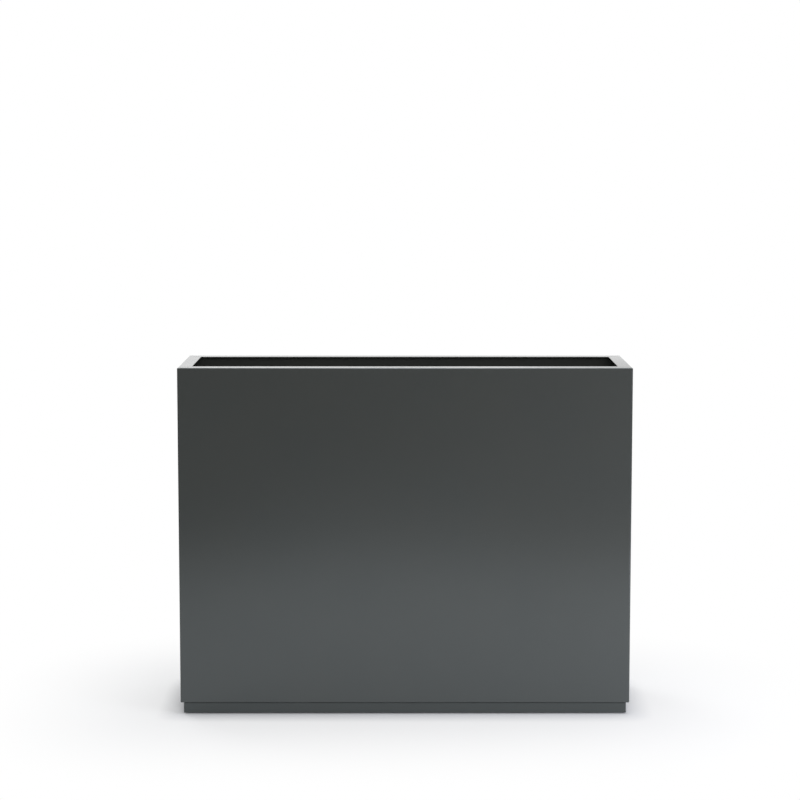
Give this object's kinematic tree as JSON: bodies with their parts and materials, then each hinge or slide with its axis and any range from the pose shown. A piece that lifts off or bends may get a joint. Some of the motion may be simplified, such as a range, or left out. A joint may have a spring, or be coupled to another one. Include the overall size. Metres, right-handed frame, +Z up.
{
  "type": "tall metal planter",
  "caption": "Tall rectangular floor planter folded from powder-coated sheet metal, with an inward rim, recessed plinth, levelling feet, lift-out perforated shelf and drain plugs.",
  "frame": {"origin": "on the floor, under the middle of the planter", "axes": "+Z up, +X along the length to the right as seen from the front, -Y towards the front"},
  "size_m": [0.914, 0.229, 0.711],
  "materials": {
    "charcoal_coat": "satin powder coat, charcoal grey",
    "galvanised_steel": "hot-dip galvanised, fine spangle",
    "zinc_plate": "bright zinc plate",
    "black_rubber": "moulded, matt",
    "black_nylon": "moulded, matt"
  },
  "bodies": {
    "shell": {"front_panel": "charcoal_coat", "back_panel": "charcoal_coat", "left_end_panel": "charcoal_coat", "right_end_panel": "charcoal_coat", "plinth_front": "charcoal_coat", "plinth_back": "charcoal_coat", "plinth_left": "charcoal_coat", "plinth_right": "charcoal_coat", "base_pan": "charcoal_coat", "front_shelf_ledge": "charcoal_coat", "back_shelf_ledge": "charcoal_coat", "front_left_stiffener": "charcoal_coat", "front_right_stiffener": "charcoal_coat", "back_left_stiffener": "charcoal_coat", "back_right_stiffener": "charcoal_coat", "left_tie_bar": "galvanised_steel", "right_tie_bar": "galvanised_steel", "tie_bar_screws": "zinc_plate", "tie_bar_nuts": "zinc_plate", "foot_plate_front_left": "galvanised_steel", "foot_plate_front_right": "galvanised_steel", "foot_plate_back_left": "galvanised_steel", "foot_plate_back_right": "galvanised_steel", "foot_nuts": "zinc_plate"},
    "left_shelf": {"left_shelf": "galvanised_steel"},
    "right_shelf": {"right_shelf": "galvanised_steel"},
    "left_drain_plug": {"left_drain_plug": "black_rubber"},
    "right_drain_plug": {"right_drain_plug": "black_rubber"},
    "foot_front_left": {"foot_stud_front_left": "zinc_plate", "foot_pad_front_left": "black_nylon"},
    "foot_front_right": {"foot_stud_front_right": "zinc_plate", "foot_pad_front_right": "black_nylon"},
    "foot_back_left": {"foot_stud_back_left": "zinc_plate", "foot_pad_back_left": "black_nylon"},
    "foot_back_right": {"foot_stud_back_right": "zinc_plate", "foot_pad_back_right": "black_nylon"}
  },
  "joints": [
    {"name": "left_shelf_lift", "type": "slide", "parent": "shell", "child": "left_shelf", "axis": [0, 0, 1], "range_m": [0, 0.32]},
    {"name": "right_shelf_lift", "type": "slide", "parent": "shell", "child": "right_shelf", "axis": [0, 0, 1], "range_m": [0, 0.32]},
    {"name": "left_drain_plug_pull", "type": "slide", "parent": "shell", "child": "left_drain_plug", "axis": [0, 0, 1], "range_m": [0, 0.04]},
    {"name": "right_drain_plug_pull", "type": "slide", "parent": "shell", "child": "right_drain_plug", "axis": [0, 0, 1], "range_m": [0, 0.04]},
    {"name": "foot_front_left_level", "type": "slide", "parent": "shell", "child": "foot_front_left", "axis": [0, 0, -1], "range_m": [0, 0.006]},
    {"name": "foot_front_right_level", "type": "slide", "parent": "shell", "child": "foot_front_right", "axis": [0, 0, -1], "range_m": [0, 0.006]},
    {"name": "foot_back_left_level", "type": "slide", "parent": "shell", "child": "foot_back_left", "axis": [0, 0, -1], "range_m": [0, 0.006]},
    {"name": "foot_back_right_level", "type": "slide", "parent": "shell", "child": "foot_back_right", "axis": [0, 0, -1], "range_m": [0, 0.006]}
  ]
}
